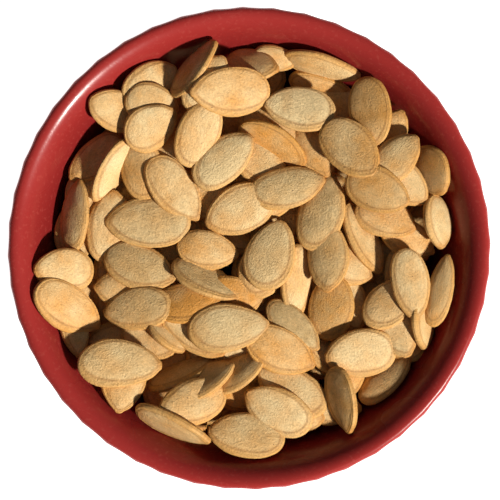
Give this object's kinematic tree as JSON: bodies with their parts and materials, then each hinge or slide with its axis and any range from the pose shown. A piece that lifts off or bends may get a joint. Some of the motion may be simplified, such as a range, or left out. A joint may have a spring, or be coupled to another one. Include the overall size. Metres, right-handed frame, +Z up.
{
  "type": "bowl of pumpkin seeds",
  "caption": "Round stoneware bowl with a fluted outside and a smooth flaring inside, heaped nearly to its rim with whole pumpkin seeds in their shells.",
  "frame": {"origin": "centre of the foot ring, on the surface that the bowl stands on", "axes": "+Z up along the bowl's axis; +X towards the right edge and +Y towards the top edge of the picture, which looks straight down"},
  "size_m": [0.12, 0.12, 0.0524],
  "materials": {
    "glazed_stoneware": "glossy brick-red glaze",
    "seed_hull": "dry matt cream-tan seed shell"
  },
  "bodies": {
    "root": {"bowl": "glazed_stoneware", "seeds": "seed_hull"}
  },
  "joints": []
}
